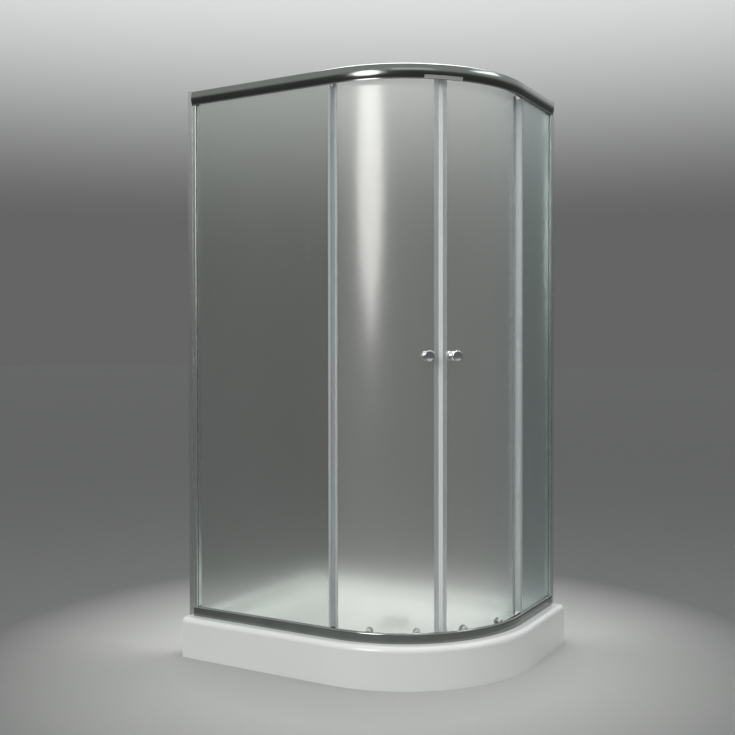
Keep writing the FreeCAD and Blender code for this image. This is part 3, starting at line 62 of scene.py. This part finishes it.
def make_camera():
    """The photograph's viewpoint: yaw from +Y towards +X, then pitch and roll."""
    data = bpy.data.cameras.new("camera")
    data.sensor_width = SENSOR_WIDTH
    data.lens = FOCAL_LENGTH / PICTURE_SIDE * SENSOR_WIDTH
    middle = PICTURE_SIDE / 2
    data.shift_x = (middle - PRINCIPAL_POINT[0]) / PICTURE_SIDE
    data.shift_y = (PRINCIPAL_POINT[1] - middle) / PICTURE_SIDE
    camera = bpy.data.objects.new("camera", data)
    bpy.context.scene.collection.objects.link(camera)
    flat = math.cos(CAMERA_PITCH)
    ahead = Vector((math.sin(CAMERA_YAW) * flat, math.cos(CAMERA_YAW) * flat, math.sin(CAMERA_PITCH)))
    level = ahead.cross(Vector((0, 0, 1))).normalized()
    upward = level.cross(ahead)
    right = math.cos(CAMERA_ROLL) * level + math.sin(CAMERA_ROLL) * upward
    up = -math.sin(CAMERA_ROLL) * level + math.cos(CAMERA_ROLL) * upward
    turn = Matrix((right, up, -ahead)).transposed()
    camera.matrix_world = Matrix.Translation(CAMERA_PLACE) @ turn.to_4x4()
    bpy.context.scene.camera = camera


# ---------------------------------------------------------------- node helpers
class Shader:
    """One material with its Principled shader and short calls for the nodes it needs."""

    def __init__(self, name):
        self.material = bpy.data.materials.new(name)
        self.material.use_nodes = True
        self.tree = self.material.node_tree
        self.principled = self.tree.nodes["Principled BSDF"]
        place = self.node("ShaderNodeTexCoord")
        self.place = place.outputs["Object"]

    def node(self, kind, **settings):
        made = self.tree.nodes.new(kind)
        for key, value in settings.items():
            setattr(made, key, value)
        return made

    def link(self, source, target):
        self.tree.links.new(source, target)

    def set(self, **values):
        """Plain values on the shader's own sockets; underscores stand for spaces."""
        for key, value in values.items():
            self.principled.inputs[key.replace("_", " ")].default_value = value

    def stretched(self, scale):
        """Object coordinates stretched along the axes, in metres."""
        mapping = self.node("ShaderNodeMapping")
        mapping.inputs["Scale"].default_value = scale
        self.link(self.place, mapping.inputs["Vector"])
        return mapping.outputs["Vector"]

    def noise(self, scale, detail=3.0, rough=0.5, stretch=(1, 1, 1)):
        made = self.node("ShaderNodeTexNoise")
        made.inputs["Scale"].default_value = scale
        made.inputs["Detail"].default_value = detail
        made.inputs["Roughness"].default_value = rough
        self.link(self.stretched(stretch), made.inputs["Vector"])
        return made.outputs["Fac"]

    def remap(self, value, low, high, to_low, to_high):
        made = self.node("ShaderNodeMapRange")
        made.inputs["From Min"].default_value = low
        made.inputs["From Max"].default_value = high
        made.inputs["To Min"].default_value = to_low
        made.inputs["To Max"].default_value = to_high
        self.link(value, made.inputs["Value"])
        return made.outputs["Result"]

    def maths(self, operation, a, b):
        made = self.node("ShaderNodeMath", operation=operation)
        for socket, value in zip(made.inputs, (a, b)):
            if isinstance(value, (int, float)):
                socket.default_value = value
            else:
                self.link(value, socket)
        return made.outputs["Value"]

    def mix(self, fac, colour_a, colour_b):
        """Mix of two colours, each a tuple or a socket, by a socket from 0 to 1."""
        made = self.node("ShaderNodeMix", data_type="RGBA")
        self.link(fac, made.inputs["Factor"])
        for socket, value in ((made.inputs[6], colour_a), (made.inputs[7], colour_b)):
            if isinstance(value, tuple):
                socket.default_value = value + (1.0,)
            else:
                self.link(value, socket)
        return made.outputs[2]

    def bump(self, height, distance, strength=1.0, normal=None):
        made = self.node("ShaderNodeBump")
        made.inputs["Strength"].default_value = strength
        made.inputs["Distance"].default_value = distance
        self.link(height, made.inputs["Height"])
        if normal:
            self.link(normal, made.inputs["Normal"])
        return made.outputs["Normal"]

    def colour(self, socket):
        self.link(socket, self.principled.inputs["Base Color"])

    def roughness(self, socket):
        self.link(socket, self.principled.inputs["Roughness"])

    def normal(self, socket):
        self.link(socket, self.principled.inputs["Normal"])


# ---------------------------------------------------------------- materials
def acrylic():
    """Polished white sanitary acrylic with a faint ripple and fine scuffs."""
    m = Shader("white_acrylic")
    m.set(IOR=1.49, Coat_Weight=0.35, Coat_Roughness=0.06)
    cloud = m.noise(3.0, 2.0)
    m.colour(m.mix(cloud, (0.71, 0.72, 0.705), (0.77, 0.78, 0.765)))
    scuff = m.noise(90.0, 6.0, 0.7)
    m.roughness(m.remap(scuff, 0.35, 0.75, 0.12, 0.24))
    ripple = m.noise(14.0, 1.0)
    grain = m.noise(900.0, 2.0)
    m.normal(m.bump(grain, 0.00002, 0.4, m.bump(ripple, 0.0004, 0.25)))
    return m.material


GLASS_IOR = 1.5
GLASS_GLOSS_SPREAD = 0.25
ETCH_ROUGHNESS = (0.20, 0.24)
SLANT_RANGE = (0.15, 0.85)


def satin_glass(name, facing_light, facing_dark, slanted, clearness, gloss):
    """Toughened glass with an etched face: soft shapes through it, cooler at a slant."""
    m = Shader(name)
    m.set(IOR=GLASS_IOR, Transmission_Weight=clearness)
    m.set(Coat_Weight=gloss, Coat_Roughness=GLASS_GLOSS_SPREAD)
    slant = m.node("ShaderNodeLayerWeight")
    slant.inputs["Blend"].default_value = 0.5
    cloud = m.noise(2.2, 1.0, 0.4, (1, 1, 0.4))
    facing = m.mix(cloud, facing_dark, facing_light)
    cool = m.remap(slant.outputs["Facing"], *SLANT_RANGE, 0.0, 1.0)
    m.colour(m.mix(cool, facing, slanted))
    m.roughness(m.remap(cloud, 0.0, 1.0, *ETCH_ROUGHNESS))
    return m.material


def polished_metal(name, light, dark, low, high, stretch):
    """Polished metal with a faint drawn grain, cloudy tone and uneven gloss."""
    m = Shader(name)
    m.set(Metallic=1.0)
    cloud = m.noise(9.0, 4.0, 0.6)
    m.colour(m.mix(cloud, dark, light))
    drawn = m.noise(160.0, 4.0, 0.7, stretch)
    m.roughness(m.remap(drawn, 0.3, 0.75, low, high))
    m.normal(m.bump(drawn, 0.00002, 0.25))
    return m.material


def vinyl(name, clearness, light, dark):
    """Soft vinyl of the seal strips, clear or milky, with cloudy streaks; gives its shader."""
    m = Shader(name)
    m.set(IOR=1.46, Transmission_Weight=clearness)
    cloud = m.noise(5.0, 3.0, 0.6, (1, 1, 0.3))
    m.colour(m.mix(cloud, dark, light))
    m.roughness(m.remap(cloud, 0.3, 0.7, 0.26, 0.36))
    return m


CHAMBER_HALF_WIDTH = 0.0075
CHAMBER_BLEND = 0.0006
CHAMBER_CLEARNESS = 0.12
LEG_CLEARNESS = 0.80


def magnetic_vinyl():
    """Clear legs on the glass and a milky chamber along the doors' meeting line."""
    m = vinyl("magnetic_vinyl", LEG_CLEARNESS, (0.92, 0.95, 0.95), (0.86, 0.90, 0.91))
    from_arc = m.node("ShaderNodeVectorMath", operation="SUBTRACT")
    from_arc.inputs[1].default_value = ARC_CENTRE
    m.link(m.place, from_arc.inputs[0])
    across = m.node("ShaderNodeVectorMath", operation="DOT_PRODUCT")
    across.inputs[1].default_value = MEETING_ALONG
    m.link(from_arc.outputs["Vector"], across.inputs[0])
    aside = m.maths("ABSOLUTE", across.outputs["Value"], 0.0)
    edge = CHAMBER_HALF_WIDTH + CHAMBER_BLEND
    clear = m.remap(aside, CHAMBER_HALF_WIDTH, edge, CHAMBER_CLEARNESS, LEG_CLEARNESS)
    m.link(clear, m.principled.inputs["Transmission Weight"])
    return m


def moulded(name, light, dark, low, high, grain_scale=900.0, grain_depth=0.00005):
    """Moulded plastic or rubber with a fine sparked grain."""
    m = Shader(name)
    cloud = m.noise(12.0, 3.0, 0.6)
    m.colour(m.mix(cloud, dark, light))
    grain = m.noise(grain_scale, 3.0, 0.6)
    m.roughness(m.remap(grain, 0.3, 0.7, low, high))
    m.normal(m.bump(grain, grain_depth, 0.5))
    return m.material


def plated_steel(name, light, dark):
    """Turned or rolled steel with fine marks and darker blooms."""
    m = Shader(name)
    m.set(Metallic=1.0)
    bloom = m.noise(60.0, 5.0, 0.65)
    m.colour(m.mix(bloom, dark, light))
    marks = m.noise(1500.0, 2.0, 0.5, (1, 1, 0.1))
    m.roughness(m.remap(marks, 0.3, 0.7, 0.22, 0.42))
    m.normal(m.bump(marks, 0.00003, 0.4))
    return m.material


def chipboard():
    """Pressed wood chips of the board under the tray."""
    m = Shader("chipboard")
    chips = m.node("ShaderNodeTexVoronoi", feature="F1")
    chips.inputs["Scale"].default_value = 160.0
    m.link(m.stretched((1, 0.6, 1)), chips.inputs["Vector"])
    fine = m.noise(420.0, 4.0, 0.7)
    tone = m.mix(fine, (0.40, 0.28, 0.17), (0.62, 0.47, 0.31))
    made = m.node("ShaderNodeMix", data_type="RGBA", blend_type="OVERLAY")
    made.inputs["Factor"].default_value = 0.35
    m.link(tone, made.inputs[6])
    m.link(chips.outputs["Color"], made.inputs[7])
    m.colour(made.outputs[2])
    m.set(Roughness=0.8)
    m.normal(m.bump(fine, 0.0002, 0.6))
    return m.material


# How the drawn grain is stretched along each axis.
RAIL_GRAIN = (0.05, 0.05, 1.0)
PROFILE_GRAIN = (1.0, 1.0, 0.02)
EVEN_GRAIN = (1, 1, 1)


def make_materials():
    """One finished material for each slot of the record, and four for single pieces.

    Colours come as light and dark, then the lowest and highest roughness. Glass has light,
    dark and slanted colours, then how clear it is and how much gloss lies on it.
    """
    return {
        "tray_acrylic": acrylic(),
        "board_wood": chipboard(),
        "foot_plastic": moulded("foot_plastic", (0.05, 0.05, 0.055), (0.03, 0.03, 0.033), 0.42, 0.6),
        "zinc_steel": plated_steel("zinc_steel", (0.62, 0.63, 0.64), (0.44, 0.45, 0.46)),
        "stainless_steel": plated_steel("stainless_steel", (0.60, 0.59, 0.57), (0.46, 0.45, 0.44)),
        "waste_plastic": moulded("waste_plastic", (0.78, 0.78, 0.76), (0.70, 0.70, 0.68), 0.38, 0.5),
        "chrome": polished_metal(
            "chrome", (0.80, 0.81, 0.82), (0.70, 0.71, 0.72), 0.10, 0.18, EVEN_GRAIN
        ),
        # Top rail: the dark base colour is a painted dark reflection, darker than the sill's copy of
        # the same metal.
        "polished_aluminium": polished_metal(
            "rail_painted_dark_reflection", (0.21, 0.225, 0.21), (0.15, 0.165, 0.155), 0.13, 0.22, RAIL_GRAIN
        ),
        # Bottom rail: a lighter copy of the top rail's polished aluminium; its dark base colour is
        # painted reflection.
        "sill_aluminium_painted_reflection": polished_metal(
            "sill_painted_reflection", (0.31, 0.325, 0.31), (0.17, 0.185, 0.175), 0.08, 0.15, RAIL_GRAIN
        ),
        "bright_aluminium": polished_metal(
            "bright_profile", (0.80, 0.82, 0.81), (0.70, 0.72, 0.71), 0.20, 0.30, PROFILE_GRAIN
        ),
        "satin_glass": satin_glass(
            "satin_glass", (0.97, 0.98, 0.95), (0.94, 0.96, 0.92), (0.84, 1.0, 1.0), 0.97, 0.42
        ),
        "clear_seal": magnetic_vinyl().material,
        "magnet": moulded("magnet_strip", (0.86, 0.88, 0.89), (0.78, 0.80, 0.82), 0.5, 0.65),
        "rubber": moulded("soft_rubber", (0.045, 0.045, 0.045), (0.025, 0.025, 0.025), 0.5, 0.7),
        "block_plastic": moulded("block_plastic", (0.30, 0.31, 0.32), (0.24, 0.25, 0.26), 0.35, 0.5),
        "roller_nylon": moulded("roller_nylon", (0.84, 0.85, 0.85), (0.76, 0.77, 0.77), 0.3, 0.42),
        # Fixed panes: a darker copy of the door glass; the darker tint is painted shade.
        "fixed_glass": satin_glass(
            "fixed_pane_painted_shade", (0.76, 0.785, 0.75), (0.71, 0.735, 0.70), (0.74, 1.0, 1.0), 1.0, 0.15
        ),
        "bare_plate": moulded("bare_plate", (0.42, 0.43, 0.41), (0.36, 0.37, 0.35), 0.3, 0.4),
        "milky_seal": vinyl("milky_vinyl", 0.55, (0.93, 0.96, 0.96), (0.87, 0.91, 0.92)).material,
    }


# Nodes whose finish differs from that of their slot.
# The bottom rail gets the lighter copy of the rail metal, with painted reflection.
NODE_FINISHES = {"bottom_rail": "sill_aluminium_painted_reflection"}
for side in ("left", "right"):
    # The fixed panes get the darker copy of the door glass, with painted shade.
    NODE_FINISHES["fixed_glass_" + side] = "fixed_glass"
    NODE_FINISHES["roller_caps_" + side] = "roller_nylon"
    for strip in ("fixed_seal_", "rear_seal_", "glazing_gasket_"):
        NODE_FINISHES[strip + side] = "milky_seal"


def dress_nodes(materials):
    """Every carried-over node gets the finish of its slot, or one of its own."""
    for part in frame["record"]["subparts"]:
        node = frame["nodes"][part["node"]]
        finish = NODE_FINISHES.get(part["node"], part["material_slot"])
        node.data.materials.clear()
        node.data.materials.append(materials[finish])


# ---------------------------------------------------------------- bare plate on the top rail
# The rail's face in section: how far out, and how high above the rail's foot.
RAIL_FACE_RADIUS = 0.506
RAIL_SECTION = ((0.0, 0.004), (0.0055, 0.026), (0.001, 0.048))
PLATE_HALF_LENGTH = 0.070
PLATE_FOOT = 0.0015
PLATE_TOP = 0.0128
PLATE_STANDOFF = 0.0001
PLATE_THICKNESS = 0.0007
PLATE_CORNER = 0.0018
PLATE_RINGS = 40
PLATE_ROWS = 10


def circle_through(a, b, c):
    """Centre and radius of the circle through three flat points."""
    (ax, ay), (bx, by), (cx, cy) = a, b, c
    turn = 2 * (ax * (by - cy) + bx * (cy - ay) + cx * (ay - by))
    aa, bb, cc = ax * ax + ay * ay, bx * bx + by * by, cx * cx + cy * cy
    x = (aa * (by - cy) + bb * (cy - ay) + cc * (ay - by)) / turn
    y = (aa * (cx - bx) + bb * (ax - cx) + cc * (bx - ax)) / turn
    return x, y, math.hypot(ax - x, ay - y)


def rail_bulge(height):
    """How far the top rail's face stands out, at a height above the rail's foot."""
    if height <= RAIL_SECTION[0][1]:
        return 0.0
    x, y, radius = circle_through(*RAIL_SECTION)
    return x + math.sqrt(radius ** 2 - (height - y) ** 2)


def plate_section(spot):
    """The strip's section as (out, height) pairs, lower where its corners are round."""
    into = min(PLATE_CORNER, PLATE_HALF_LENGTH - abs(spot))
    trim = PLATE_CORNER - math.sqrt(PLATE_CORNER ** 2 - (PLATE_CORNER - into) ** 2)
    foot = PLATE_FOOT + trim
    rise = (PLATE_TOP - trim - foot) / PLATE_ROWS
    heights = [foot + rise * row for row in range(PLATE_ROWS + 1)]
    front = [(rail_bulge(z) + PLATE_THICKNESS, z) for z in heights]
    back = [(rail_bulge(z) + PLATE_STANDOFF, z) for z in reversed(heights)]
    return front + back


def make_plate(material):
    """Bare strip with round corners that follows the curved face over the doors' meeting."""
    shape = bmesh.new()
    rings = []
    for k in range(PLATE_RINGS + 1):
        spot = -math.cos(math.pi * k / PLATE_RINGS) * PLATE_HALF_LENGTH
        angle = MEETING_ANGLE + spot / RAIL_FACE_RADIUS
        ring = []
        for out, z in plate_section(spot):
            reach = RAIL_FACE_RADIUS + out
            across = Vector((reach * math.cos(angle), reach * math.sin(angle), GLASS_TOP + z))
            ring.append(shape.verts.new(ARC_CENTRE + across))
        rings.append(ring)
    for near, far in zip(rings, rings[1:]):
        for k in range(len(near)):
            j = (k + 1) % len(near)
            shape.faces.new((near[k], near[j], far[j], far[k]))
    shape.faces.new(rings[0])
    shape.faces.new(rings[-1])
    bmesh.ops.recalc_face_normals(shape, faces=shape.faces)
    mesh = bpy.data.meshes.new("rail_plate")
    shape.to_mesh(mesh)
    shape.free()
    mesh.materials.append(material)
    plate = bpy.data.objects.new("rail_plate", mesh)
    bpy.context.scene.collection.objects.link(plate)
    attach(plate, "root")


# ---------------------------------------------------------------- studio
HORIZON = (0.128, 0.131, 0.128)
OVERHEAD = (0.84, 0.85, 0.85)
FLOOR_NEAR = (0.42, 0.42, 0.41)
FLOOR_FAR = (0.127, 0.129, 0.127)   # as rendered, this meets the horizon's tone
BRIGHTENING = (0.12, 0.40)          # sine of the height angle
FLOOR_HALF_SIDE = 60.0
FLOOR_FADE = (0.8, 1.6)


def make_world():
    """Soft grey studio: a plain tone at eye level that brightens overhead."""
    world = bpy.data.worlds.new("studio")
    world.use_nodes = True
    bpy.context.scene.world = world
    tree = world.node_tree
    background = tree.nodes["Background"]
    place = tree.nodes.new("ShaderNodeTexCoord")
    split = tree.nodes.new("ShaderNodeSeparateXYZ")
    ramp = tree.nodes.new("ShaderNodeMapRange")
    ramp.interpolation_type = "SMOOTHSTEP"
    ramp.inputs["From Min"].default_value = BRIGHTENING[0]
    ramp.inputs["From Max"].default_value = BRIGHTENING[1]
    mix = tree.nodes.new("ShaderNodeMix")
    mix.data_type = "RGBA"
    mix.inputs[6].default_value = HORIZON + (1.0,)
    mix.inputs[7].default_value = OVERHEAD + (1.0,)
    tree.links.new(place.outputs["Generated"], split.inputs["Vector"])
    tree.links.new(split.outputs["Z"], ramp.inputs["Value"])
    tree.links.new(ramp.outputs["Result"], mix.inputs["Factor"])
    tree.links.new(mix.outputs[2], background.inputs["Color"])


def make_floor():
    """Plain pale floor that darkens evenly with distance into the studio's tone."""
    half = FLOOR_HALF_SIDE
    mesh = bpy.data.meshes.new("floor")
    corners = [(-half, -half, 0), (half, -half, 0), (half, half, 0), (-half, half, 0)]
    mesh.from_pydata(corners, [], [(0, 1, 2, 3)])
    floor = bpy.data.objects.new("floor", mesh)
    bpy.context.scene.collection.objects.link(floor)
    m = Shader("studio_floor")
    length = m.node("ShaderNodeVectorMath", operation="LENGTH")
    m.link(m.place, length.inputs[0])
    away = m.remap(length.outputs["Value"], *FLOOR_FADE, 0.0, 1.0)
    m.colour(m.mix(away, FLOOR_NEAR, FLOOR_FAR))
    m.set(Roughness=0.8, Specular_IOR_Level=0.15)
    speck = m.noise(300.0, 3.0)
    m.normal(m.bump(speck, 0.0002, 0.1))
    floor.data.materials.append(m.material)


WARM = (1.0, 0.99, 0.97)
NEUTRAL = (0.98, 0.99, 1.0)
COOL = (0.94, 0.98, 1.0)
# Each lamp's shape, place, aim, size, watts and colour.
LAMPS = {
    "key_lamp": ("ELLIPSE", (0.16, -3.3, 2.25), (0.1, -0.3, 1.5), (1.3, 1.9), 44, WARM),
    "top_lamp": ("RECTANGLE", (0.1, 0.12, 3.0), (0.1, 0.05, 0.0), (1.3, 0.9), 46, NEUTRAL),
    "side_lamp": ("RECTANGLE", (2.6, -3.2, 3.9), (0.3, -0.2, 1.9), (2.6, 1.0), 8, COOL),
    "rail_lamp": ("RECTANGLE", (2.8, 0.95, 4.0), (0.48, -0.12, 2.12), (1.5, 0.42), 14, COOL),
}


def make_lamp(name, shape, place, aim, size, watts, colour):
    data = bpy.data.lights.new(name, "AREA")
    data.shape = shape
    data.size, data.size_y = size
    data.energy = watts
    data.color = colour
    made = bpy.data.objects.new(name, data)
    bpy.context.scene.collection.objects.link(made)
    made.location = place
    made.rotation_mode = "QUATERNION"
    made.rotation_quaternion = (Vector(aim) - Vector(place)).to_track_quat("-Z", "Y")


def make_lamps():
    """An oval key for the long highlight, light from above, a weak fill and a rail light."""
    for name, settings in LAMPS.items():
        make_lamp(name, *settings)


# ---------------------------------------------------------------- build
make_camera()
finishes = make_materials()
dress_nodes(finishes)
make_plate(finishes["bare_plate"])
make_world()
make_floor()
make_lamps()

bpy.context.scene.view_settings.view_transform = "Standard"
